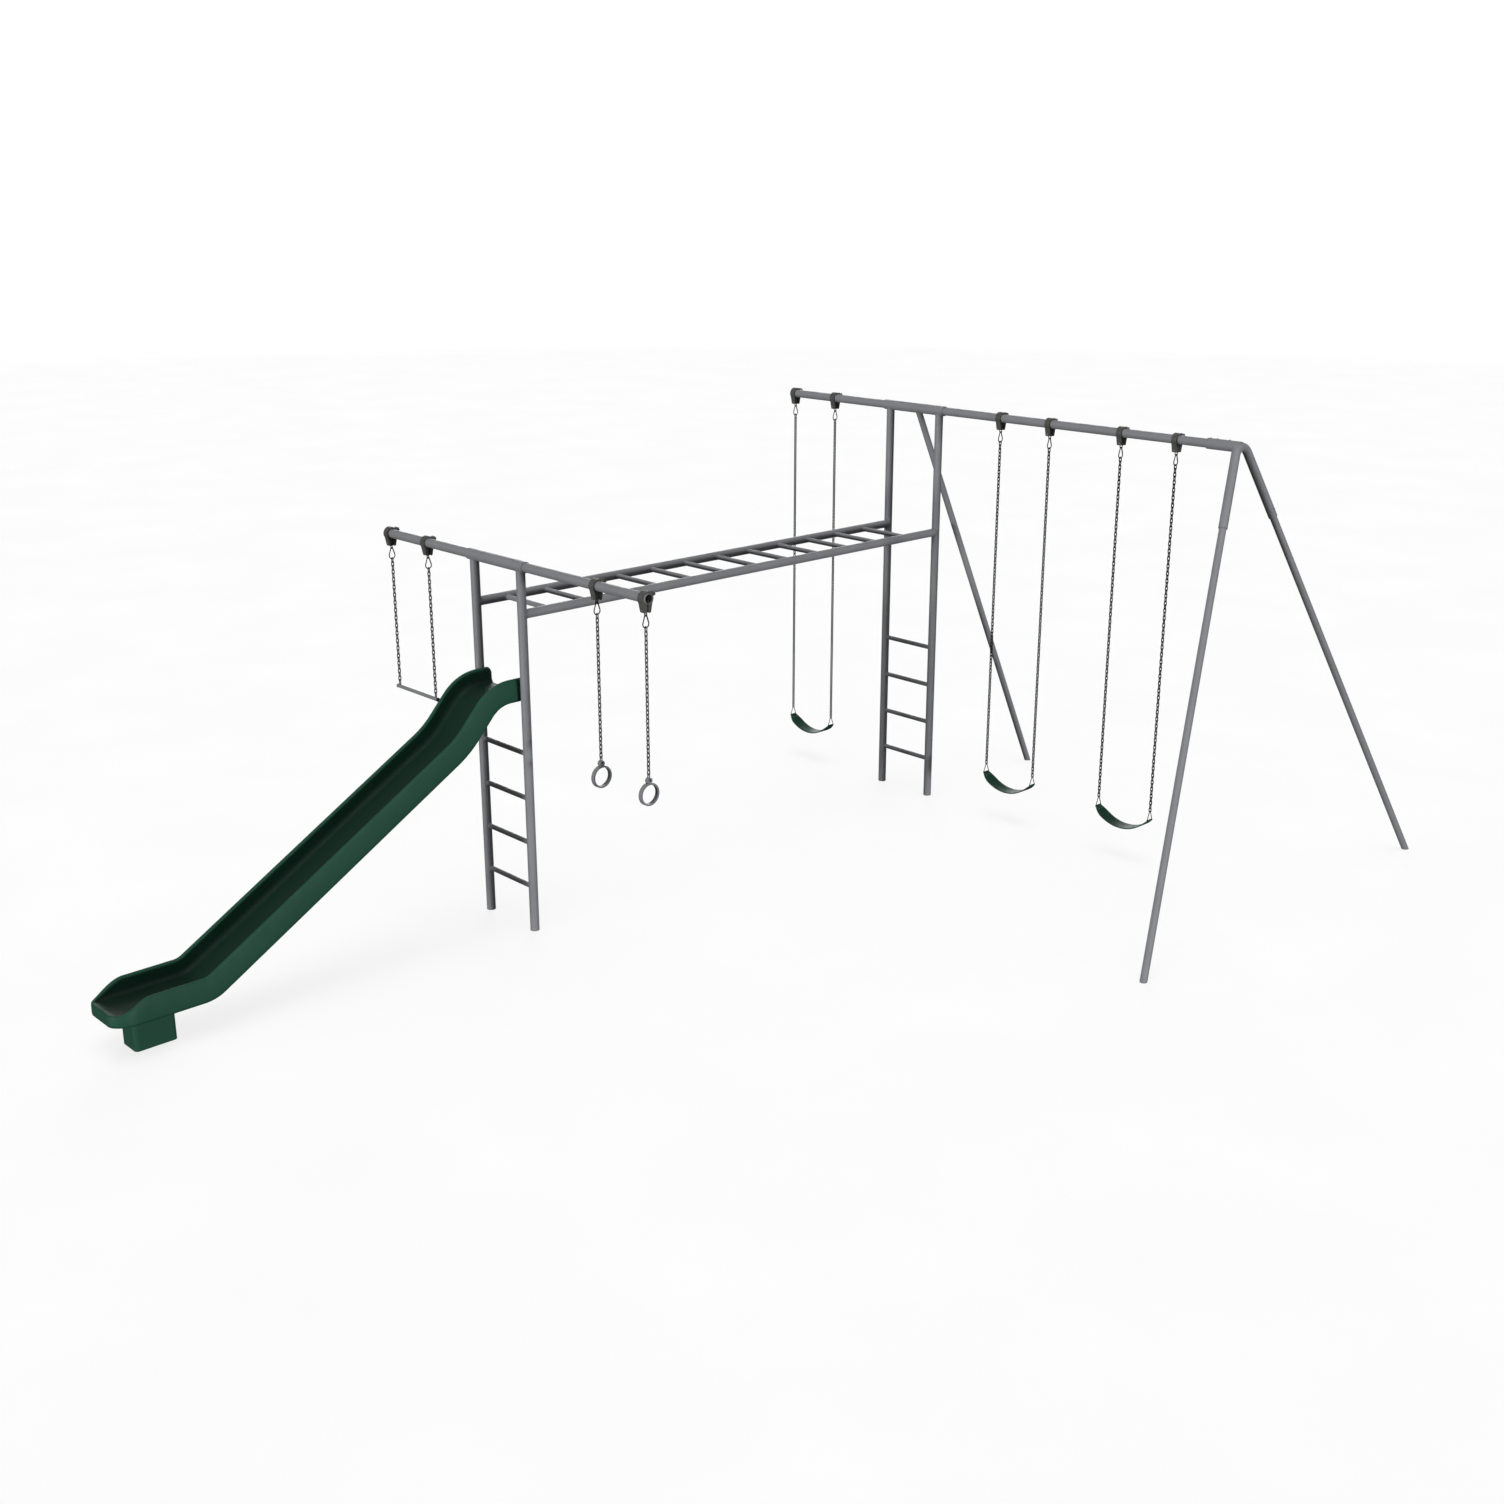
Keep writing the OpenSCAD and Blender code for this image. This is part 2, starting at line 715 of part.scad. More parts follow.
// Puts its children at the cross bolt that carries the eye, pointing back
module at_cross_bolt() {
    translate([0, -lobe_width, -bolt_depth]) rotate([-90, 0, 0]) children();
}

module jaw_holes() {
    at_ear_bolt() translate([0, 0, -2]) cylinder(r = bolt_r + fit_gap, h = 3 * ear_thickness);
    at_cross_bolt() translate([0, 0, -5]) cylinder(r = bolt_r + fit_gap, h = 2 * lobe_width + 10);
    for (side = [0, 1]) {
        translate([0, 0, -bolt_depth]) rotate([-90, 0, side * 180])
            translate([0, 0, lobe_width]) cylinder(r = bolt_d + 2, h = 20);
    }
}

module clamp_front_jaws() {
    color(cast) placed() at_hangers()
        difference() {
            across_x(clamp_width) difference() {
                clamp_outline();
                rear_share();
            }
            jaw_holes();
        }
}

module clamp_rear_jaws() {
    color(cast) placed() at_hangers()
        difference() {
            across_x(clamp_width) intersection() {
                clamp_outline();
                rear_share();
            }
            jaw_holes();
        }
}

module clamp_bolts() {
    color(cast) placed() at_hangers() {
        at_ear_bolt() bolt(2 * ear_thickness + split_gap, bolt_d);
        at_cross_bolt() bolt(2 * lobe_width, bolt_d);
    }
}

// An oval eye that hangs on the cross bolt, standing in the XZ plane
module eye() {
    rotate([90, 0, 0])
        wire_ring([[0, -eye_top], [0, -eye_top - eye_drop]], [eye_bend, eye_bend], eye_wire);
}

// A pear-shaped snap hook round the eye's lower wire, standing in the YZ plane
module hook() {
    rotate([90, 0, 90])
        wire_ring([[0, -hinge_depth], [0, -hinge_depth - hook_span]], [hook_top_bend, hook_low_bend],
                  hook_wire);
}

// A chain as one plain tube of its links' width, with the links' own mass
module chain(beam_height, low) {
    top = beam_height - chain_depth;
    translate([0, 0, low - beam_height])
        difference() {
            cylinder(d = chain_width, h = top - low);
            translate([0, 0, -1]) cylinder(d = chain_width - 2 * chain_wall, h = top - low + 2);
        }
}

module hanger_eyes() {
    color(black_steel) placed() at_hangers(rings = false) eye();
}

// ---------- Belt swings ----------

module at_swing(n) {
    for (side = [-1, 1]) {
        translate([swing_x[n] + side * swing_width / 2, ladder_distance, rear_beam_height]) children();
    }
}

module swing_hooks(n) {
    color(black_steel) placed() at_swing(n) hook();
}

module swing_chains(n) {
    low = seat_hinge + delta_bend + delta_wire / 2 + fit_gap;
    color(black_steel) placed() at_swing(n) chain(rear_beam_height, low);
}

module swing_triangles(n) {
    color(black_steel) placed() at_swing(n)
        translate([0, 0, seat_hinge - rear_beam_height]) rotate([90, 0, 90])
            wire_ring([[0, 0], [-delta_half, -delta_rise], [delta_half, -delta_rise]],
                      [delta_bend, delta_bend, delta_bend], delta_wire);
}

// The belt's plan: full width under the rider, drawn in to the triangles at both ends
module belt_plan() {
    half = swing_width / 2;
    wide = belt_width / 2;
    narrow = belt_loop_length / 2 + 4;
    polygon([for (q = [[1, 1], [-1, 1], [-1, -1], [1, -1]])
        each (q[0] * q[1] > 0
              ? [[q[0] * (half + 8), q[1] * narrow], [q[0] * (half - 22), q[1] * (narrow + 16)],
                 [q[0] * (half - 75), q[1] * wide]]
              : [[q[0] * (half - 75), q[1] * wide], [q[0] * (half - 22), q[1] * (narrow + 16)],
                 [q[0] * (half + 8), q[1] * narrow]])]);
}

module swing_belt(n) {
    half = swing_width / 2;
    color(green) placed()
        translate([swing_x[n], ladder_distance, seat_height])
            difference() {
                union() {
                    intersection() {
                        translate([0, 0, belt_radius - belt_sag]) rotate([90, 0, 0])
                            linear_extrude(height = belt_width + 20, center = true)
                                difference() {
                                    circle(r = belt_radius + belt_thickness / 2, $fn = 96);
                                    circle(r = belt_radius - belt_thickness / 2, $fn = 96);
                                    translate([-1000, belt_sag - belt_radius]) square([2000, 2000]);
                                }
                        translate([0, 0, -belt_sag - 50])
                            linear_extrude(height = belt_sag + 100) belt_plan();
                    }
                    for (side = [-1, 1]) {
                        translate([side * half, belt_loop_length / 2, 0]) rotate([90, 0, 0])
                            cylinder(r = belt_loop_r, h = belt_loop_length);
                    }
                }
                for (side = [-1, 1]) {
                    translate([side * half, belt_width, 0]) rotate([90, 0, 0])
                        cylinder(r = delta_wire / 2 + fit_gap, h = 2 * belt_width);
                }
            }
}

// ---------- Trapeze ----------

module at_trapeze() {
    for (x = trapeze_hangers) translate([x, 0, front_beam_height]) children();
}

module trapeze_hooks() {
    color(black_steel) placed() at_trapeze() hook();
}

module trapeze_chains() {
    color(steel) placed() at_trapeze() chain(front_beam_height, trapeze_top + fit_gap);
}

module trapeze_bar() {
    half = trapeze_length / 2;
    color(steel) placed() translate([0, 0, trapeze_height])
        difference() {
            union() {
                rod([trapeze_x - half, 0, 0], [trapeze_x + half, 0, 0], trapeze_d / 2);
                for (x = trapeze_hangers) {
                    translate([x, 0, trapeze_d / 2]) rotate([90, 0, 0])
                        rotate_extrude() translate([trapeze_eye_bend, 0]) circle(r = 3);
                }
            }
            rod([trapeze_x - half - 1, 0, 0], [trapeze_x + half + 1, 0, 0], trapeze_d / 2 - 2.5);
        }
}

module trapeze_caps() {
    color(black_steel) placed()
        for (side = [-1, 1]) {
            translate([trapeze_x + side * trapeze_length / 2, 0, trapeze_height])
                rotate([0, side * 90, 0]) {
                    cylinder(r = trapeze_d / 2 + 1.5, h = 5);
                    translate([0, 0, -15]) cylinder(r = trapeze_d / 2 - 2.5 - fit_gap, h = 15.1);
                }
        }
}

// ---------- Gym rings ----------

module at_ring(n) {
    translate([ring_hangers[n], 0, front_beam_height]) children();
}

module ring_eye(n) {
    color(black_steel) placed() at_ring(n) eye();
}

module ring_hook(n) {
    color(black_steel) placed() at_ring(n) hook();
}

module ring_chain(n) {
    color(steel) placed() at_ring(n) chain(front_beam_height, ring_top + fit_gap);
}

// A flat hoop with a boss on top that the chain's last link goes through
module gym_ring(n) {
    color(steel) placed() translate([ring_hangers[n], 0, ring_height])
        across_x(ring_depth)
            difference() {
                union() {
                    circle(d = ring_d);
                    translate([0, ring_boss_z]) circle(r = ring_boss_r);
                }
                circle(d = ring_d - 2 * ring_band);
                translate([0, ring_boss_z + 4]) circle(r = 8);
            }
}

// ---------- Every sub-part ----------

post(-post_x, 0, front_beam_height);  // front_left_post
post(post_x, 0, front_beam_height);  // front_right_post
post(-post_x, ladder_distance, rear_beam_height);  // rear_left_post
post(post_x, ladder_distance, rear_beam_height);  // rear_right_post
ladder_rungs(0);  // front_ladder_rungs
ladder_rungs(ladder_distance);  // rear_ladder_rungs
sleeve(0, front_beam_height);  // front_sleeve
sleeve(ladder_distance, rear_beam_height);  // rear_sleeve
front_beam();
rear_beam();
rail(-post_x);  // left_rail
rail(post_x);  // right_rail
monkey_bars();
brace();
a_frame_crown();
beam_socket();
leg(-1);  // near_leg
leg(1);  // far_leg
frame_bolts();
foot_plugs();
slide_shell();
slide_foot();
slide_bolts();
clamp_front_jaws();
clamp_rear_jaws();
clamp_bolts();
hanger_eyes();
for (n = [0 : 2]) {
    name = str("swing_", n + 1);
    swing_hooks(n);
    swing_chains(n);
    swing_triangles(n);
    swing_belt(n);
}
trapeze_hooks();
trapeze_chains();
trapeze_bar();
trapeze_caps();
for (n = [0 : 1]) {
    name = str("ring_", n + 1);
    ring_eye(n);
    ring_hook(n);
    ring_chain(n);
    gym_ring(n);
}
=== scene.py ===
"""Looks for the pipe-frame swing set: chain links, snap hooks, belts, slide, welds and finishes."""

import json
import math
import random

import bmesh
import bpy
from mathutils import Matrix, Vector


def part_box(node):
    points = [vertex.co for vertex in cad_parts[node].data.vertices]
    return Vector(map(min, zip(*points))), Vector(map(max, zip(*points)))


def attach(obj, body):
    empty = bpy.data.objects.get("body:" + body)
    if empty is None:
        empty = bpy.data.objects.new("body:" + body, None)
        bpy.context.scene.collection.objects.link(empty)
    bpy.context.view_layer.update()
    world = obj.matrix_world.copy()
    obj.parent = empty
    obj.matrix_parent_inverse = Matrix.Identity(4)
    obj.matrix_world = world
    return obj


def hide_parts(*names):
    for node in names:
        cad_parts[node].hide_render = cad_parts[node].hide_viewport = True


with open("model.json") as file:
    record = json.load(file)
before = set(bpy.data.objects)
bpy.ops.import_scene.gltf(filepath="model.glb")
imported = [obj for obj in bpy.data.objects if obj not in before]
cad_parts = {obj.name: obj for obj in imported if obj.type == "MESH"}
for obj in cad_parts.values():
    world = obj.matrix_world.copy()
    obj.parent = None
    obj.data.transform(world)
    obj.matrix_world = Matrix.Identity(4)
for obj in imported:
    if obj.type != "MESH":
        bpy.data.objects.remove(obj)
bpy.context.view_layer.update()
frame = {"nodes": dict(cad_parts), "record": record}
random.seed(7)

# ---------- Places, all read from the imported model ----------


def mid(node):
    """Centre of a CAD node's box."""
    low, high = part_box(node)
    return (low + high) / 2


JOINTS = {j["name"]: j for j in frame["record"]["behaviour"]["joints"]}
LADDER_X = (mid("front_left_post").x + mid("front_right_post").x) / 2
POST_X = mid("front_right_post").x - LADDER_X
FRONT_Y = mid("front_left_post").y
REAR_Y = mid("rear_left_post").y
FRONT_Z = mid("front_beam").z
REAR_Z = mid("rear_sleeve").z
PIPE_R = (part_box("front_beam")[1].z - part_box("front_beam")[0].z) / 2
SLEEVE_R = (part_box("front_sleeve")[1].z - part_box("front_sleeve")[0].z) / 2
RAIL_Z = mid("left_rail").z
RUNG_R = (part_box("monkey_bars")[1].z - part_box("monkey_bars")[0].z) / 2


def pin(joint):
    """Place of a joint's axis."""
    return Vector(JOINTS[joint]["pos_m"])


# ---------- Node materials ----------


def new_material(name):
    m = bpy.data.materials.new(name)
    m.use_nodes = True
    tree = m.node_tree
    return m, tree, tree.nodes["Principled BSDF"]


def add(tree, kind, **values):
    """A node, with its plain properties and its input defaults set by name."""
    n = tree.nodes.new(kind)
    for key, value in values.items():
        if key in n.inputs:
            n.inputs[key].default_value = value
        else:
            setattr(n, key, value)
    return n


def noise(tree, coords, scale, detail=4.0, rough=0.55):
    n = add(tree, "ShaderNodeTexNoise", Scale=scale, Detail=detail, Roughness=rough)
    tree.links.new(coords, n.inputs["Vector"])
    return n.outputs["Fac"]


def ramp(tree, fac, stops):
    """A colour ramp through (place, colour) stops."""
    n = tree.nodes.new("ShaderNodeValToRGB")
    e = n.color_ramp.elements
    while len(e) < len(stops):
        e.new(0.5)
    for k, (place, colour) in enumerate(stops):
        e[k].position = place
        e[k].color = (*colour, 1.0)
    tree.links.new(fac, n.inputs["Fac"])
    return n.outputs["Color"]


def to_range(tree, fac, low, high, from_low=0.3, from_high=0.7):
    n = add(tree, "ShaderNodeMapRange")
    n.inputs["From Min"].default_value = from_low
    n.inputs["From Max"].default_value = from_high
    n.inputs["To Min"].default_value = low
    n.inputs["To Max"].default_value = high
    tree.links.new(fac, n.inputs["Value"])
    return n.outputs["Result"]


def mix(tree, fac, a, b):
    n = tree.nodes.new("ShaderNodeMix")
    n.data_type = "RGBA"
    for value, socket in ((fac, n.inputs["Factor"]), (a, n.inputs[6]), (b, n.inputs[7])):
        if isinstance(value, bpy.types.NodeSocket):
            tree.links.new(value, socket)
        elif isinstance(value, float):
            socket.default_value = value
        else:
            socket.default_value = (*value, 1.0)
    return n.outputs[2]


def shade(c, k):
    return tuple(v * k for v in c)


def surface(name, base, rough, grain, grain_depth, metallic=0.0, specular=0.5, spots=None, cloud=4.0,
            contrast=0.12, wear=0.0, wear_colour=(0.3, 0.3, 0.3), painted_shade=None):
    """A finish with cloudy colour, fine grain in its bump, uneven roughness, worn patches, and painted
    shade:
    a darker colour where a mesh's attribute for it says."""
    m, tree, bsdf = new_material(name)
    coords = add(tree, "ShaderNodeTexCoord").outputs["Object"]
    broad = noise(tree, coords, cloud, 5.0)
    darker, lighter = shade(base, 1 - contrast), shade(base, 1 + contrast)
    colour = ramp(tree, broad, [(0.3, darker), (0.5, base), (0.7, lighter)])
    if spots is not None:
        small = noise(tree, coords, 160.0, 3.0)
        mask = to_range(tree, small, 0.0, 0.6, 0.60, 0.72)
        colour = mix(tree, mask, colour, spots)
    if wear > 0:
        scuff = noise(tree, coords, 22.0, 8.0, 0.7)
        mask = to_range(tree, scuff, 0.0, wear, 0.60, 0.70)
        colour = mix(tree, mask, colour, wear_colour)
    # Painted shade: the colour is darkened where the mesh's attribute marks shade
    if painted_shade is not None:
        mask = add(tree, "ShaderNodeAttribute", attribute_name="painted_shade").outputs["Fac"]
        colour = mix(tree, mask, colour, painted_shade)
    tree.links.new(colour, bsdf.inputs["Base Color"])
    uneven = noise(tree, coords, 14.0, 6.0)
    tree.links.new(to_range(tree, uneven, rough - 0.07, rough + 0.09), bsdf.inputs["Roughness"])
    bump = add(tree, "ShaderNodeBump", Strength=0.6, Distance=grain_depth)
    tree.links.new(noise(tree, coords, grain, 3.0), bump.inputs["Height"])
    tree.links.new(bump.outputs["Normal"], bsdf.inputs["Normal"])
    bsdf.inputs["Metallic"].default_value = metallic
    bsdf.inputs["Specular IOR Level"].default_value = specular
    return m


GREY = (0.138, 0.140, 0.148)
TUBE = surface("tube_coat", GREY, 0.55, 900.0, 0.0004, specular=0.22, spots=shade(GREY, 1.15), contrast=0.06,
               wear=0.25, wear_colour=shade(GREY, 0.75))
RING = surface("ring_coat", shade(GREY, 1.05), 0.45, 900.0, 0.0004, specular=0.3, contrast=0.06,
               wear=0.3, wear_colour=shade(GREY, 0.7))
CAST = surface("cast_grey", (0.042, 0.042, 0.040), 0.62, 700.0, 0.0012, specular=0.3, contrast=0.25,
               spots=(0.075, 0.075, 0.072))
ZINC = surface("zinc_bolts", (0.12, 0.12, 0.118), 0.45, 1200.0, 0.0003, metallic=0.6, specular=0.4,
               contrast=0.2)
LINK_ZINC = surface("galvanised_links", (0.058, 0.058, 0.060), 0.50, 900.0, 0.0005, metallic=0.4,
                    specular=0.3, contrast=0.25, spots=(0.12, 0.12, 0.12))
LINK_BLACK = surface("black_links", (0.003, 0.003, 0.003), 0.60, 900.0, 0.0005, specular=0.07, contrast=0.2,
                     wear=0.3, wear_colour=(0.010, 0.010, 0.010))
BLACK = surface("black_coat", (0.003, 0.003, 0.003), 0.55, 900.0, 0.0004, specular=0.08, contrast=0.2)
PLUG = surface("black_plastic", (0.014, 0.014, 0.015), 0.55, 500.0, 0.0005, specular=0.25, contrast=0.15)
WELD = surface("weld_bead", shade(GREY, 0.88), 0.5, 400.0, 0.001, specular=0.25, contrast=0.12)
GREEN = (0.0078, 0.0430, 0.0265)
# The slide's trough gets painted shade: its inside is darkened to about a third of the green
SLIDE = surface("green_plastic", GREEN, 0.55, 380.0, 0.0006, specular=0.12, cloud=1.6, contrast=0.08,
                wear=0.12, wear_colour=shade(GREEN, 1.5), painted_shade=shade(GREEN, 0.36))
BELT = surface("green_rubber", shade(GREEN, 0.9), 0.60, 620.0, 0.0007, specular=0.14, cloud=7.0,
               contrast=0.14, wear=0.25, wear_colour=shade(GREEN, 1.5))

# ---------- Mesh helpers ----------


def finish_mesh(bm, name, material, body, smooth=38.0, replaced=()):
    """Turns a bmesh into a piece that rides on a body."""
    bmesh.ops.recalc_face_normals(bm, faces=bm.faces)
    mesh = bpy.data.meshes.new(name)
    bm.to_mesh(mesh)
    bm.free()
    mesh.polygons.foreach_set("use_smooth", [True] * len(mesh.polygons))
    mesh.set_sharp_from_angle(angle=math.radians(smooth))
    o = bpy.data.objects.new(name, mesh)
    bpy.context.scene.collection.objects.link(o)
    mesh.materials.append(material)
    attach(o, body)
    if replaced:
        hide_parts(*replaced)


def sweep(bm, points, radii, sides=10, closed=True, up=None):
    """A round wire through points. radii is one radius or one a point."""
    n = len(points)
    if not isinstance(radii, (list, tuple)):
        radii = [radii] * n
    rings = []
    plane = up or Vector((0, 0, 1))
    for k, p in enumerate(points):
        ahead = points[(k + 1) % n] if closed or k < n - 1 else p
        behind = points[k - 1] if closed or k > 0 else p
        way = (ahead - behind).normalized()
        side = plane.cross(way).normalized()
        top = way.cross(side)
        rings.append([bm.verts.new(p + radii[k] * (math.cos(a) * side + math.sin(a) * top))
                      for a in (2 * math.pi * s / sides for s in range(sides))])
    for k in range(n if closed else n - 1):
        a, b = rings[k], rings[(k + 1) % n]
        for s in range(sides):
            bm.faces.new((a[s], a[(s + 1) % sides], b[(s + 1) % sides], b[s]))
    if not closed:
        bm.faces.new(rings[0][::-1])
        bm.faces.new(rings[-1])


def stadium(half_straight, r, steps=6):
    """Points round a chain link, in its own plane: across, up."""
    pts = []
    for k in range(steps + 1):
        a = math.pi * k / steps
        pts.append((r * math.cos(a), half_straight + r * math.sin(a)))
    for k in range(steps + 1):
        a = math.pi + math.pi * k / steps
        pts.append((r * math.cos(a), -half_straight + r * math.sin(a)))
    return pts


WIRE = 0.0074
LINK_PITCH = 0.0265
LINK_SPARE = 0.0018
LINK_HALF = (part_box("ring_1_chain")[1].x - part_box("ring_1_chain")[0].x) / 2 + LINK_SPARE - WIRE / 2


def chain(bm, x, y, top, low, wires):
    """An odd number of interlocked links from the wire at height top down to the wire at height low.
    wires are those two wires' radii. The first and last links lie in the x-z plane."""
    span = top + wires[0] + wires[1] - low
    count = max(1, round(span / LINK_PITCH))
    if count % 2 == 0:
        count += 1 if span / (count + 1) > LINK_PITCH - 0.001 else -1
    pitch = span / count
    shape = stadium((pitch + WIRE) / 2 - LINK_HALF, LINK_HALF)
    first = top + wires[0] + WIRE / 2 - (pitch + WIRE) / 2
    for k in range(count):
        z = first - k * pitch
        if k % 2 == 0:
            pts = [Vector((x + across, y, z + rise)) for across, rise in shape]
            sweep(bm, pts, WIRE / 2, sides=8, up=Vector((0, 1, 0)))
        else:
            pts = [Vector((x, y + across, z + rise)) for across, rise in shape]
            sweep(bm, pts, WIRE / 2, sides=8, up=Vector((1, 0, 0)))


# ---------- Snap hooks ----------

HOOK_LOW, HOOK_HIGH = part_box("ring_1_hook")
HOOK_WIRE = (HOOK_HIGH.x - HOOK_LOW.x) / 2
HOOK_HALF = (HOOK_HIGH.y - HOOK_LOW.y) / 2
HOOK_TOP = HOOK_HIGH.z - pin("ring_1_swing").z
HOOK_BOTTOM = HOOK_LOW.z - pin("ring_1_swing").z
HOOK_WIRE_Z = HOOK_BOTTOM + HOOK_WIRE
GATE_PARTS = ((0.10, 0.10, 1.28), (0.24, 0.50, 1.14), (0.84, 0.08, 1.25))
NUB_R = 0.0016


def hook_path(steps=14):
    """Centre line of a snap hook in its plane, about the wire it hangs on: (across, up)."""
    r_top = HOOK_TOP - HOOK_WIRE
    r_low = HOOK_HALF - HOOK_WIRE
    low = HOOK_BOTTOM + HOOK_WIRE + r_low
    lean = math.asin((r_low - r_top) / -low)
    pts = []
    for k in range(steps + 1):
        a = lean + (math.pi - 2 * lean) * k / steps
        pts.append((r_top * math.cos(a), r_top * math.sin(a)))
    for k in range(2 * steps + 1):
        a = math.pi - lean + (math.pi + 2 * lean) * k / (2 * steps)
        pts.append((r_low * math.cos(a), low + r_low * math.sin(a)))
    return pts


def snap_hook(bm, x, y, z):
    """A forged hook with a sprung gate on its rear side.
    GATE_PARTS are the gate's hinge, barrel and nose: start and length along it, and thickness in wires."""
    path = hook_path()
    sweep(bm, [Vector((x, y + a, z + b)) for a, b in path], HOOK_WIRE, sides=12, up=Vector((1, 0, 0)))
    start = Vector((x, y + path[-1][0], z + path[-1][1]))
    way = Vector((x, y + path[0][0], z + path[0][1])) - start
    for share, length, r in GATE_PARTS:
        a, b = start + share * way, start + (share + length) * way
        pts = [a, a.lerp(b, 0.06), a.lerp(b, 0.94), b]
        sweep(bm, pts, [HOOK_WIRE * 1.01, HOOK_WIRE * r, HOOK_WIRE * r, HOOK_WIRE * 1.01], sides=12,
              closed=False, up=Vector((1, 0, 0)))
    nub = start + 0.15 * way
    reach = Vector((HOOK_WIRE * 1.5, 0, 0))
    sweep(bm, [nub - reach, nub + reach], NUB_R, sides=8, closed=False, up=Vector((0, 0, 1)))


def hang(hook_node, chain_node, body, xs, y, hinge_z, low_z, low_wire, link_material, name):
    """Snap hooks on the eyes at xs, and the chains from them down to a wire at height low_z."""
    bm = bmesh.new()
    for x in xs:
        snap_hook(bm, x, y, hinge_z)
    finish_mesh(bm, name + "_snap_hooks", BLACK, body, replaced=[hook_node])
    bm = bmesh.new()
    for x in xs:
        chain(bm, x, y, hinge_z + HOOK_WIRE_Z, low_z, (HOOK_WIRE, low_wire))
    finish_mesh(bm, name + "_links", link_material, body, smooth=60, replaced=[chain_node])


# ---------- Belt swings ----------


def swing_xs(n):
    low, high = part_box(f"swing_{n}_chains")
    r = LINK_HALF + WIRE / 2
    return low.x + r - LINK_SPARE, high.x - r + LINK_SPARE


DELTA_WIRE = 0.003
BELT_THICK, BELT_END_HALF, BELT_TAPER = 0.0042, 0.0285, 0.085
RIB_HEIGHT, RIB_PITCH = 0.0006, 0.0085
LOOP_R = 0.0052
RIVET_FROM_END, RIVET_OUT = 0.026, 0.016
RIVET = [(0.0, 0.0062), (0.0010, 0.0062), (0.0019, 0.0052), (0.0024, 0.0034), (0.0026, 0.0012)]


def turned_head(bm, matrix, profile, sides=16):
    """A turned shape from (height, radius) steps, closed at both ends."""
    rings = [[bm.verts.new(matrix @ Vector((r * math.cos(a), r * math.sin(a), h)))
              for a in (2 * math.pi * s / sides for s in range(sides))] for h, r in profile]
    for a, b in zip(rings, rings[1:]):
        for s in range(sides):
            bm.faces.new((a[s], a[(s + 1) % sides], b[(s + 1) % sides], b[s]))
    bm.faces.new(rings[0][::-1])
    bm.faces.new(rings[-1])


class BeltArc:
    """The sagging arc of a belt between its two triangles, as places and upward directions along it."""

    def __init__(self, n):
        low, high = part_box(f"swing_{n}_belt")
        self.left, self.right = swing_xs(n)
        self.centre = (self.left + self.right) / 2
        self.y = (low.y + high.y) / 2
        self.seat_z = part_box(f"swing_{n}_triangles")[0].z + DELTA_WIRE
        self.wide = (high.y - low.y) / 2 - 0.001
        half = (self.right - self.left) / 2
        self.sag = self.seat_z - low.z - BELT_THICK - RIB_HEIGHT / 2
        self.radius = (half * half + self.sag * self.sag) / (2 * self.sag)
        self.reach = math.asin(half / self.radius)

    def up(self, a):
        return Vector((-math.sin(a), 0, math.cos(a)))

    def at(self, a):
        across = self.radius * math.sin(a)
        rise = self.radius * (1 - math.cos(a))
        return Vector((self.centre + across, self.y, self.seat_z - self.sag + rise))


def belt_body(bm, arc, steps=72, across=24):
    """The belt itself, narrower and rounded towards its ends, with a rolled edge and ribs on top."""
    tops, lows = [], []
    for i in range(steps + 1):
        u = -1 + 2 * i / steps
        from_end = (1 - abs(u)) * arc.reach * arc.radius
        t = min(1.0, from_end / BELT_TAPER)
        w = BELT_END_HALF + (arc.wide - BELT_END_HALF) * math.sin(t * math.pi / 2) ** 0.8
        up, spine = arc.up(u * arc.reach), arc.at(u * arc.reach)
        row_top, row_low = [], []
        for j in range(across + 1):
            v = -1 + 2 * j / across
            wave = 0.5 + 0.5 * math.cos(v * w / RIB_PITCH * 2 * math.pi)
            rib = RIB_HEIGHT * wave * (1 if abs(v) < 0.82 else 0)
            edge = RIB_HEIGHT if abs(v) > 0.93 else 0.0
            past = max(0.0, (abs(v) * w - (w - BELT_THICK)) / BELT_THICK)
            rim = BELT_THICK * math.sqrt(max(0.0, 1 - past ** 2))
            side = Vector((0, v * w, 0))
            row_top.append(bm.verts.new(spine + side + up * (rim + (rib + edge) * (rim / BELT_THICK))))
            row_low.append(bm.verts.new(spine + side - up * rim))
        tops.append(row_top)
        lows.append(row_low)
    for i in range(steps):
        for j in range(across):
            bm.faces.new((tops[i][j], tops[i][j + 1], tops[i + 1][j + 1], tops[i + 1][j]))
            bm.faces.new((lows[i][j], lows[i + 1][j], lows[i + 1][j + 1], lows[i][j + 1]))
    for i in (0, steps):
        for j in range(across):
            bm.faces.new((tops[i][j], lows[i][j], lows[i][j + 1], tops[i][j + 1]))
    bmesh.ops.remove_doubles(bm, verts=bm.verts, dist=1e-6)


def belt_loop(bm, x, y, z, sides=20):
    """The belt's end, folded round the lower wire of a triangle, with softened corners."""
    half = BELT_END_HALF
    soft = half - 0.002
    section = ((0.72, -half), (1.30, -half), (1.42, -soft), (1.42, soft), (1.30, half), (0.72, half))
    rings = []
    for a in (2 * math.pi * k / sides for k in range(sides)):
        across, rise = LOOP_R * math.cos(a), LOOP_R * math.sin(a)
        rings.append([bm.verts.new(Vector((x + across * f, y + w, z + rise * f))) for f, w in section])
    n = len(section)
    for k in range(sides):
        a, b = rings[k], rings[(k + 1) % sides]
        for s in range(n):
            bm.faces.new((a[s], a[(s + 1) % n], b[(s + 1) % n], b[s]))


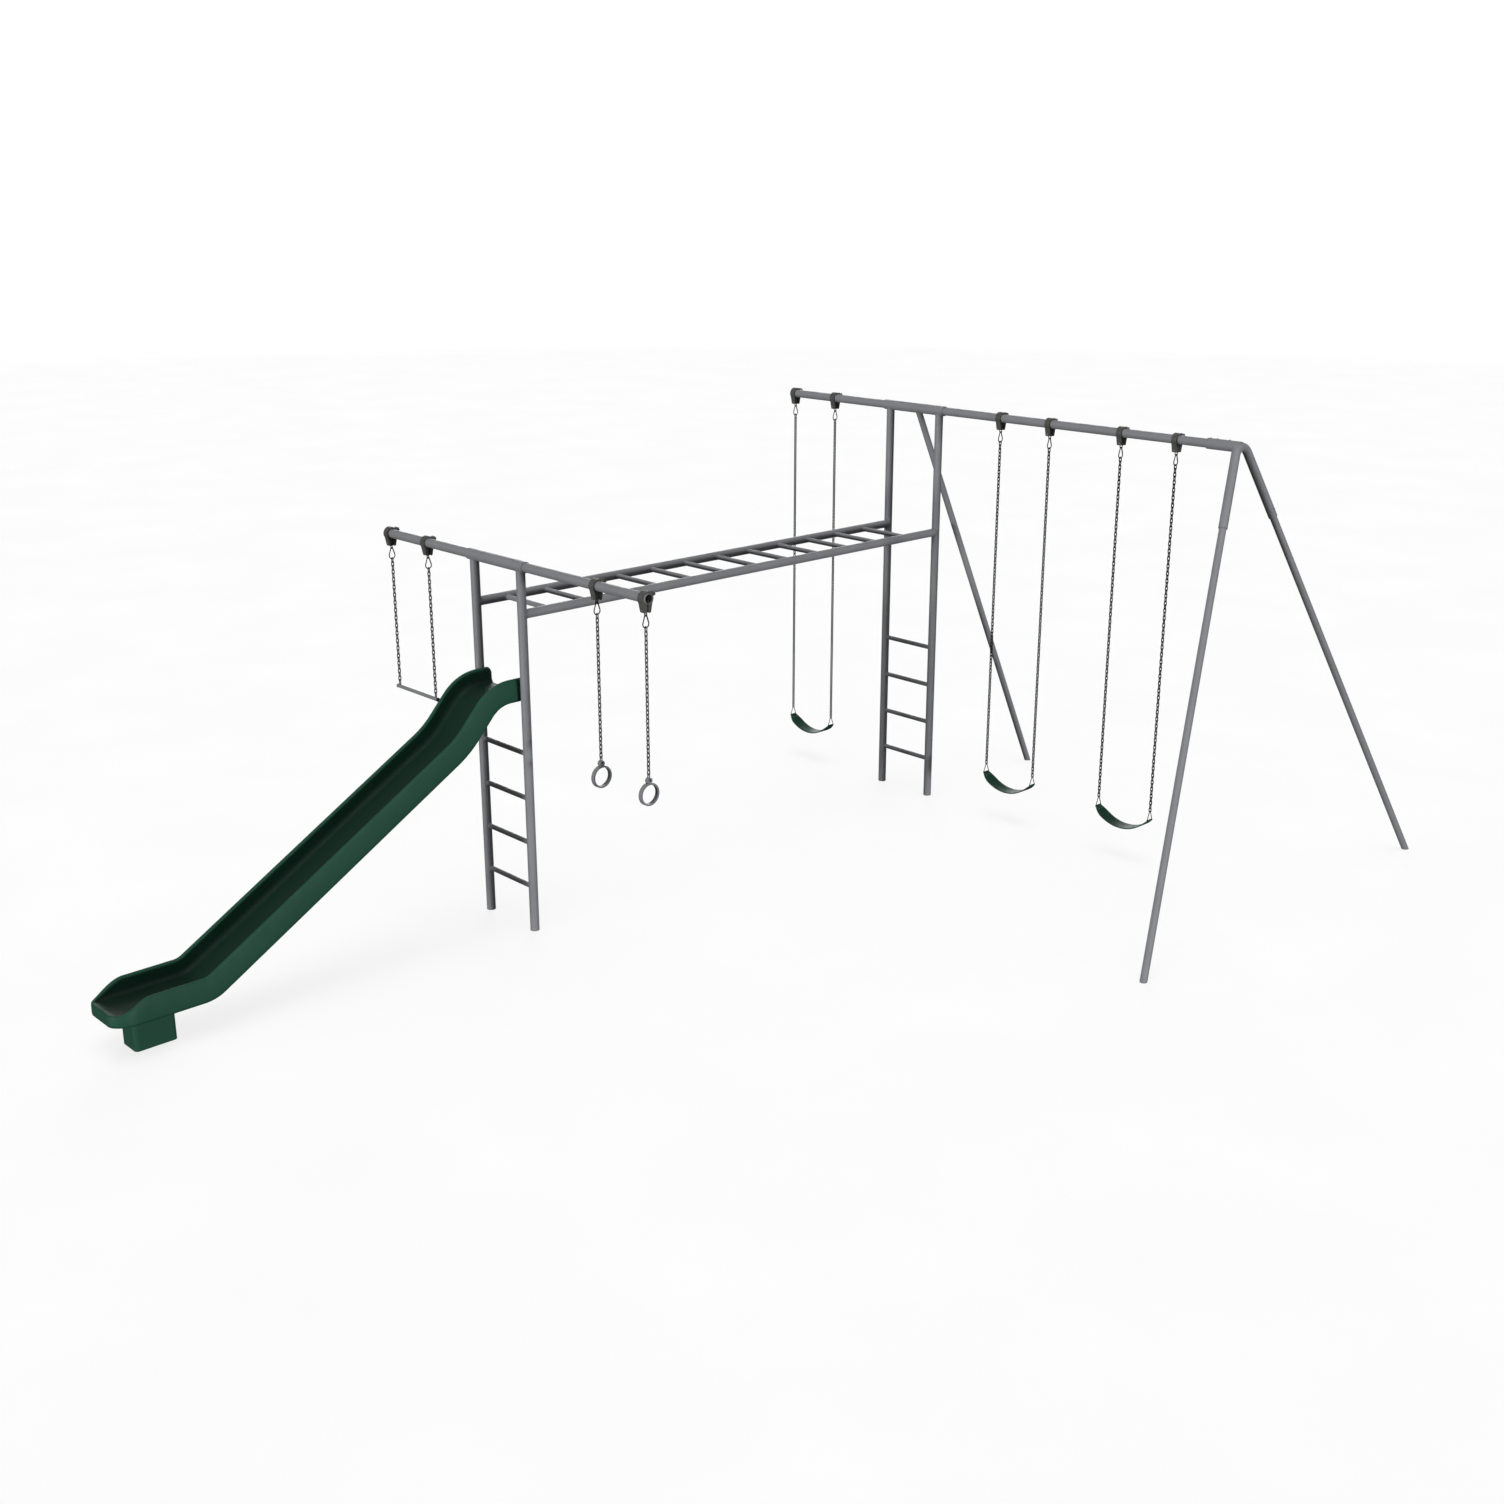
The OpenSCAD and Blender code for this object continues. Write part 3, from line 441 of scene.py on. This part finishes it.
def belt(n):
    """A sling seat and the rivets that hold its folded ends."""
    arc = BeltArc(n)
    bm = bmesh.new()
    belt_body(bm, arc)
    for x in (arc.left, arc.right):
        belt_loop(bm, x, arc.y, arc.seat_z)
    finish_mesh(bm, f"swing_{n}_seat", BELT, f"seat_{n}", smooth=50,
                replaced=[f"swing_{n}_belt"])
    bm = bmesh.new()
    for side in (-1, 1):
        a = side * (arc.reach - RIVET_FROM_END / arc.radius)
        for dy in (-RIVET_OUT, RIVET_OUT):
            for out in (arc.up(a), -arc.up(a)):
                foot = arc.at(a) + Vector((0, dy, 0)) + out * (BELT_THICK - 0.0004)
                turn = out.to_track_quat("Z", "Y").to_matrix().to_4x4()
                turned_head(bm, Matrix.Translation(foot) @ turn, RIVET)
    finish_mesh(bm, f"swing_{n}_rivets", ZINC, f"seat_{n}")


for n in (1, 2, 3):
    hinge = pin(f"swing_{n}_swing")
    apex = pin(f"seat_{n}_tilt").z + 0.005
    hang(f"swing_{n}_hooks", f"swing_{n}_chains", f"swing_{n}", swing_xs(n), hinge.y, hinge.z, apex,
         DELTA_WIRE, LINK_BLACK, f"swing_{n}")
    belt(n)

# ---------- Trapeze and rings ----------

trapeze_hinge = pin("trapeze_swing")
EYE_WIRE, BOSS_WIRE = 0.003, 0.0035
low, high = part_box("trapeze_chains")
TRAPEZE_X = (low.x + LINK_HALF + WIRE / 2 - LINK_SPARE, high.x - LINK_HALF - WIRE / 2 + LINK_SPARE)
eye_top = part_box("trapeze_bar")[1].z - EYE_WIRE
hang("trapeze_hooks", "trapeze_chains", "trapeze", TRAPEZE_X, trapeze_hinge.y, trapeze_hinge.z, eye_top,
     EYE_WIRE, LINK_ZINC, "trapeze")
for n in (1, 2):
    hinge = pin(f"ring_{n}_swing")
    boss_wire_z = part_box(f"gym_ring_{n}")[1].z - BOSS_WIRE
    hang(f"ring_{n}_hook", f"ring_{n}_chain", f"ring_{n}_line", [hinge.x], hinge.y, hinge.z, boss_wire_z,
         BOSS_WIRE, LINK_ZINC, f"ring_{n}")

# ---------- Slide ----------

# Section: height of the walls, thickness of the bed and of a wall, how far a wall leans in, its roundings
WALL_HEIGHT, BED, WALL, LEAN = 0.154, 0.056, 0.027, 0.010
LOW_EDGE, COVE = 0.022, 0.040
# Exit: rounding of the front, corner in plan, and where and how far the walls fall to the lip
NOSE, CORNER, CORNER_SHARE = 0.016, 0.150, 0.8
LIP_RUN, LIP_FLAT, LIP_HEIGHT, SCOOP = 0.235, 0.020, 0.074, 0.110
# Entry: rounding of its rims, sides and bed
ENTRY_ROUND, ENTRY_SIDE, ENTRY_BED, ENTRY_START = 0.024, 0.010, 0.012, 0.030
# Path: straight runs, bends and slopes, from the ladder down
ENTRY_RUN, ENTRY_BEND, DROP_RUN, DROP_BEND, KNEE_BEND = 0.105, 0.190, 0.162, 0.720, 0.260
DROP_SLOPE, CHUTE_SLOPE = math.radians(48.0), math.radians(30.6)
BEND_STEP, STRAIGHT_STEP = 0.014, 0.040
# The trough's painted shade starts this far from the exit and is full this much further in, and this many
# section points past the rim
SHADE_FROM, SHADE_RUN, SHADE_POINTS = 0.034, 0.012, 4


def stretch_points(start, length, turn, radius):
    """(y, z, slope) along a straight stretch, or along a bend if turn isn't 0."""
    y0, z0, s0 = start
    steps = max(1, round((abs(turn) * radius + length) / (BEND_STEP if turn else STRAIGHT_STEP)))
    points = []
    for k in range(1, steps + 1):
        share = k / steps
        if turn == 0:
            points.append((y0 - share * length * math.cos(s0), z0 - share * length * math.sin(s0), s0))
        else:
            sign = 1 if turn > 0 else -1
            slope = s0 + share * turn
            points.append((y0 - sign * radius * (math.sin(slope) - math.sin(s0)),
                           z0 - sign * radius * (math.cos(s0) - math.cos(slope)), slope))
    return points


def slide_path():
    """Underside of the slide from the ladder to the exit, as (y, z, slope)."""
    low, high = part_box("slide_shell")
    fall = high.z - WALL_HEIGHT - low.z
    bends = (ENTRY_BEND * (1 - math.cos(DROP_SLOPE)) + DROP_RUN * math.sin(DROP_SLOPE)
             + DROP_BEND * (math.cos(CHUTE_SLOPE) - math.cos(DROP_SLOPE))
             + KNEE_BEND * (1 - math.cos(CHUTE_SLOPE)))
    chute_run = (fall - bends) / math.sin(CHUTE_SLOPE)
    stretches = [(ENTRY_RUN, 0, 0), (0, DROP_SLOPE, ENTRY_BEND), (DROP_RUN, 0, 0),
                 (0, CHUTE_SLOPE - DROP_SLOPE, DROP_BEND), (chute_run, 0, 0), (0, -CHUTE_SLOPE, KNEE_BEND)]
    at = (high.y, high.z - WALL_HEIGHT, 0.0)
    path = [at]
    for k in range(1, 9):
        path.append((high.y - ENTRY_START * (1 - math.cos(k / 8 * math.pi / 2)), at[1], 0.0))
    for length, turn, radius in stretches:
        for at in stretch_points(at, length, turn, radius):
            if at[0] < path[-1][0] - 0.002:
                path.append(at)
    y, z = at[:2]
    straight = y - low.y - LIP_RUN
    for k in range(1, 9):
        path.append((y - straight * k / 8, z, 0.0))
    for k in range(1, 49):
        path.append((low.y + LIP_RUN * (1 - math.sin(k / 48 * math.pi / 2)), z, 0.0))
    return path


def drawn_in(r, left):
    """How far a rounding of radius r has drawn in at a distance from its end."""
    return 0.0 if left >= r else r - math.sqrt(max(0.0, r * r - (r - left) ** 2))


def unit(value):
    """A value held between 0 and 1."""
    return max(0.0, min(1.0, value))


def slide_section(from_entry, left):
    """Right half of the section, from the middle of the underside round to the middle of the bed, and the
    number of its first point inside the trough."""
    half = (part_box("slide_shell")[1].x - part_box("slide_shell")[0].x) / 2
    nose = drawn_in(NOSE, left)
    start = drawn_in(ENTRY_ROUND, from_entry)
    outer = half - CORNER_SHARE * drawn_in(CORNER, left) - drawn_in(ENTRY_SIDE, from_entry)
    rise = unit((left - LIP_FLAT) / (LIP_RUN - LIP_FLAT))
    h = LIP_HEIGHT + (WALL_HEIGHT - LIP_HEIGHT) * (1 - math.cos(math.pi * rise)) / 2 - nose - start
    scooped = min(1.0, 1.5 * max(0.0, 1 - left / SCOOP) ** 2)
    bed = BED + (LIP_HEIGHT - 0.004 - BED) * scooped - nose - drawn_in(ENTRY_BED, from_entry)
    base = nose + 0.6 * start
    edge = max(0.002, LOW_EDGE - nose)
    rim = min(WALL, h - bed) / 2
    top = outer - LEAN * h / WALL_HEIGHT
    inside = top - WALL
    cove = min(COVE, 0.85 * (h - bed))
    pts = [((outer - edge) * k / 4, base) for k in range(5)]
    pts += [(outer - edge + edge * math.sin(a), base + edge - edge * math.cos(a))
            for a in (math.pi / 2 * k / 8 for k in range(1, 9))]
    wall_low, wall_high = base + edge, h - rim
    pts += [(outer - LEAN * z / WALL_HEIGHT * k / 6, z)
            for k, z in ((k, wall_low + (wall_high - wall_low) * k / 6) for k in range(1, 6))]
    pts += [(top - WALL / 2 + WALL / 2 * math.cos(a), h - rim + rim * math.sin(a))
            for a in (math.pi * k / 16 for k in range(17))]
    first_inner = len(pts) - 2
    pts += [(inside - cove + cove * math.cos(a), bed + cove - cove * math.sin(a))
            for a in (math.pi / 2 * k / 10 for k in range(1, 11))]
    pts += [((inside - cove) * (1 - k / 8), bed) for k in range(1, 9)]
    return pts, first_inner


def slide():
    """The moulded slide, with a rounded entry, a scooped exit and painted shade, a darker colour, inside the
    trough.
    """
    low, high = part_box("slide_shell")
    centre = (low.x + high.x) / 2
    bm = bmesh.new()
    # Weight of the painted shade at each point, which darkens the inside of the trough
    painted_shade = bm.verts.layers.float.new("painted_shade")
    rings = []
    for y, z, slope in slide_path():
        left = y - low.y if slope == 0 else LIP_RUN
        right, first_inner = slide_section(high.y - y, left)
        points = list(enumerate(right))
        ring = []
        for side, half in ((1, points), (-1, points[-2:0:-1])):
            for k, (across, up) in half:
                place = (centre + side * across, y - up * math.sin(slope), z + up * math.cos(slope))
                v = bm.verts.new(place)
                # Painted shade fades in over the first points inside the trough and away from the exit
                v[painted_shade] = unit((k - first_inner) / SHADE_POINTS) * unit((left - SHADE_FROM) / SHADE_RUN)
                ring.append(v)
        rings.append(ring)
    n = len(rings[0])
    for a, b in zip(rings, rings[1:]):
        for k in range(n):
            bm.faces.new((a[k], a[(k + 1) % n], b[(k + 1) % n], b[k]))
    bm.faces.new(rings[0][::-1])
    bm.faces.new(rings[-1])
    finish_mesh(bm, "slide", SLIDE, "frame", smooth=50, replaced=["slide_shell"])


slide()

# ---------- Welds ----------


SMALL_BEAD, LARGE_BEAD = 0.0026, 0.003
RUNGS, BARS = 4, 12


def weld(bm, at, way, r, main_at, main_way, main_r, bead=SMALL_BEAD, sides=36):
    """A rippled bead where a tube of radius r, running along way from at, meets a larger tube."""
    way, main_way = way.normalized(), main_way.normalized()
    u = main_way.cross(way).normalized()
    v = way.cross(u)
    points = []
    for k in range(sides):
        a = 2 * math.pi * k / sides
        p = at + r * (math.cos(a) * u + math.sin(a) * v) - main_at
        p0, d = p - p.dot(main_way) * main_way, way - way.dot(main_way) * main_way
        a2, half_b, c = d.dot(d), p0.dot(d), p0.dot(p0) - main_r ** 2
        root = math.sqrt(max(0.0, half_b * half_b - a2 * c))
        points.append(main_at + p + way * ((-half_b - root) / a2))
    ripple = [bead * (1 + 0.14 * math.sin(k * 2.4) + random.uniform(-0.08, 0.08)) for k in range(sides)]
    sweep(bm, points, ripple, sides=6, up=way)


def welds():
    """Beads round the rungs, the monkey bars, the posts under their sleeves and the rails' ends."""
    bm = bmesh.new()
    across, back, up = Vector((1, 0, 0)), Vector((0, 1, 0)), Vector((0, 0, 1))
    for name, y in (("front_ladder_rungs", FRONT_Y), ("rear_ladder_rungs", REAR_Y)):
        pitch = (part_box(name)[1].z - RUNG_R) / RUNGS
        for k in range(1, RUNGS + 1):
            for side in (-1, 1):
                weld(bm, Vector((LADDER_X, y, k * pitch)), side * across, RUNG_R,
                     Vector((LADDER_X + side * POST_X, y, 0)), up, PIPE_R)
    low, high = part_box("monkey_bars")
    for k in range(BARS):
        y = low.y + RUNG_R + (high.y - low.y - 2 * RUNG_R) * k / (BARS - 1)
        for side in (-1, 1):
            weld(bm, Vector((LADDER_X, y, RAIL_Z)), side * across, RUNG_R,
                 Vector((LADDER_X + side * POST_X, y, RAIL_Z)), back, PIPE_R)
    for side in (-1, 1):
        x = LADDER_X + side * POST_X
        for y, z, way in ((FRONT_Y, FRONT_Z, -back), (REAR_Y, REAR_Z, back)):
            weld(bm, Vector((x, y, RAIL_Z)), up, PIPE_R, Vector((x, y, z)), across, SLEEVE_R, LARGE_BEAD)
            weld(bm, Vector((x, (FRONT_Y + REAR_Y) / 2, RAIL_Z)), way, PIPE_R * 0.999,
                 Vector((x, y, RAIL_Z)), up, PIPE_R, LARGE_BEAD, sides=48)
    finish_mesh(bm, "weld_beads", WELD, "frame", smooth=70)


welds()

# ---------- Finishes on the CAD nodes ----------


def paint(nodes, material, bevel=0.0):
    """Gives CAD nodes a finish, and softens their sharp edges by bevel."""
    for name in nodes:
        o = frame["nodes"][name]
        o.data.materials.clear()
        o.data.materials.append(material)
        if bevel:
            b = o.modifiers.new("bevel", "BEVEL")
            b.width = bevel
            b.segments = 2
            b.limit_method = "ANGLE"
            b.angle_limit = math.radians(40)
            b.harden_normals = False


paint(["front_left_post", "front_right_post", "rear_left_post", "rear_right_post", "front_ladder_rungs",
       "rear_ladder_rungs", "front_sleeve", "rear_sleeve", "front_beam", "rear_beam", "left_rail",
       "right_rail", "monkey_bars", "brace", "a_frame_crown", "beam_socket", "near_leg", "far_leg",
       "trapeze_bar"], TUBE)
paint(["gym_ring_1", "gym_ring_2"], RING, 0.003)
paint(["clamp_front_jaws", "clamp_rear_jaws"], CAST, 0.0018)
paint(["frame_bolts", "clamp_bolts"], ZINC, 0.0006)
paint(["foot_plugs", "trapeze_caps", "slide_bolts"], PLUG, 0.0008)
paint(["hanger_eyes", "ring_1_eye", "ring_2_eye", "swing_1_triangles", "swing_2_triangles",
       "swing_3_triangles"], BLACK)
paint(["slide_foot"], SLIDE, 0.012)

# ---------- Stage ----------

FLOOR_REACH, FLOOR_BEND, FLOOR_RISE, FLOOR_GLOW = 40.0, 8.0, 30.0, 0.79
# The camera's place from the front ladder, how far it looks down and how far it is turned
CAMERA_FROM = (9.120, -6.417, 4.767)
CAMERA_DOWN, CAMERA_TURN = 18.016, 46.589


def stage_floor(sides=64):
    """A flat floor that curves up into a wall all round."""
    bm = bmesh.new()
    rows = [(FLOOR_REACH + FLOOR_BEND * math.sin(a), FLOOR_BEND * (1 - math.cos(a)))
            for a in (math.pi / 2 * k / 16 for k in range(17))]
    rows.append((FLOOR_REACH + FLOOR_BEND, FLOOR_RISE))
    centre = bm.verts.new((0, 0, 0))
    rings = [[bm.verts.new((r * math.cos(a), r * math.sin(a), z))
              for a in (2 * math.pi * k / sides for k in range(sides))] for r, z in rows]
    for k in range(sides):
        bm.faces.new((centre, rings[0][k], rings[0][(k + 1) % sides]))
    for a, b in zip(rings, rings[1:]):
        for k in range(sides):
            bm.faces.new((a[k], a[(k + 1) % sides], b[(k + 1) % sides], b[k]))
    mesh = bpy.data.meshes.new("floor")
    bm.to_mesh(mesh)
    bm.free()
    o = bpy.data.objects.new("floor", mesh)
    bpy.context.scene.collection.objects.link(o)
    m, tree, bsdf = new_material("pale_floor")
    coords = add(tree, "ShaderNodeTexCoord").outputs["Object"]
    colour = ramp(tree, noise(tree, coords, 0.8), [(0.3, (0.19, 0.19, 0.19)), (0.7, (0.21, 0.21, 0.21))])
    tree.links.new(colour, bsdf.inputs["Base Color"])
    bsdf.inputs["Roughness"].default_value = 0.9
    bsdf.inputs["Specular IOR Level"].default_value = 0.0
    bsdf.inputs["Emission Color"].default_value = (1, 1, 1, 1)
    bsdf.inputs["Emission Strength"].default_value = FLOOR_GLOW
    mesh.materials.append(m)
    o.visible_diffuse = False
    o.visible_glossy = False
    o.visible_shadow = False


def sun(name, source, power, spread):
    """A broad studio light far away, shining from a direction."""
    data = bpy.data.lights.new(name, "SUN")
    data.energy = power
    data.angle = math.radians(spread)
    o = bpy.data.objects.new(name, data)
    bpy.context.scene.collection.objects.link(o)
    o.rotation_euler = Vector(source).to_track_quat("Z", "Y").to_euler()


def studio_world():
    """Soft light all round, brighter from above than from below."""
    world = bpy.data.worlds.new("studio")
    world.use_nodes = True
    tree = world.node_tree
    coords = add(tree, "ShaderNodeTexCoord").outputs["Generated"]
    split = add(tree, "ShaderNodeSeparateXYZ")
    tree.links.new(coords, split.inputs["Vector"])
    level = to_range(tree, split.outputs["Z"], 0.0, 1.0, -1.0, 1.0)
    greys = [(0.0, 0.07), (0.45, 0.20), (0.55, 0.32), (1.0, 0.48)]
    colour = ramp(tree, level, [(place, (grey,) * 3) for place, grey in greys])
    tree.links.new(colour, tree.nodes["Background"].inputs["Color"])
    bpy.context.scene.world = world


stage_floor()
sun("right_light", (1.0, 0.0, 0.03), 2.7, 4.0)
sun("front_light", (0.0, -1.0, 0.03), 3.1, 4.0)
sun("top_light", (0.1, -0.1, 1.0), 1.1, 40.0)
sun("back_light", (-0.72, 0.68, 0.25), 1.7, 30.0)
studio_world()
bpy.context.scene.view_settings.view_transform = "Standard"

data = bpy.data.cameras.new("camera")
data.sensor_width = 36.0
data.lens = 42.64
data.clip_end = 200.0
camera = bpy.data.objects.new("camera", data)
bpy.context.scene.collection.objects.link(camera)
camera.location = (LADDER_X + CAMERA_FROM[0], FRONT_Y + CAMERA_FROM[1], CAMERA_FROM[2])
camera.rotation_euler = (math.radians(90 - CAMERA_DOWN), 0.0, math.radians(CAMERA_TURN))
bpy.context.scene.camera = camera
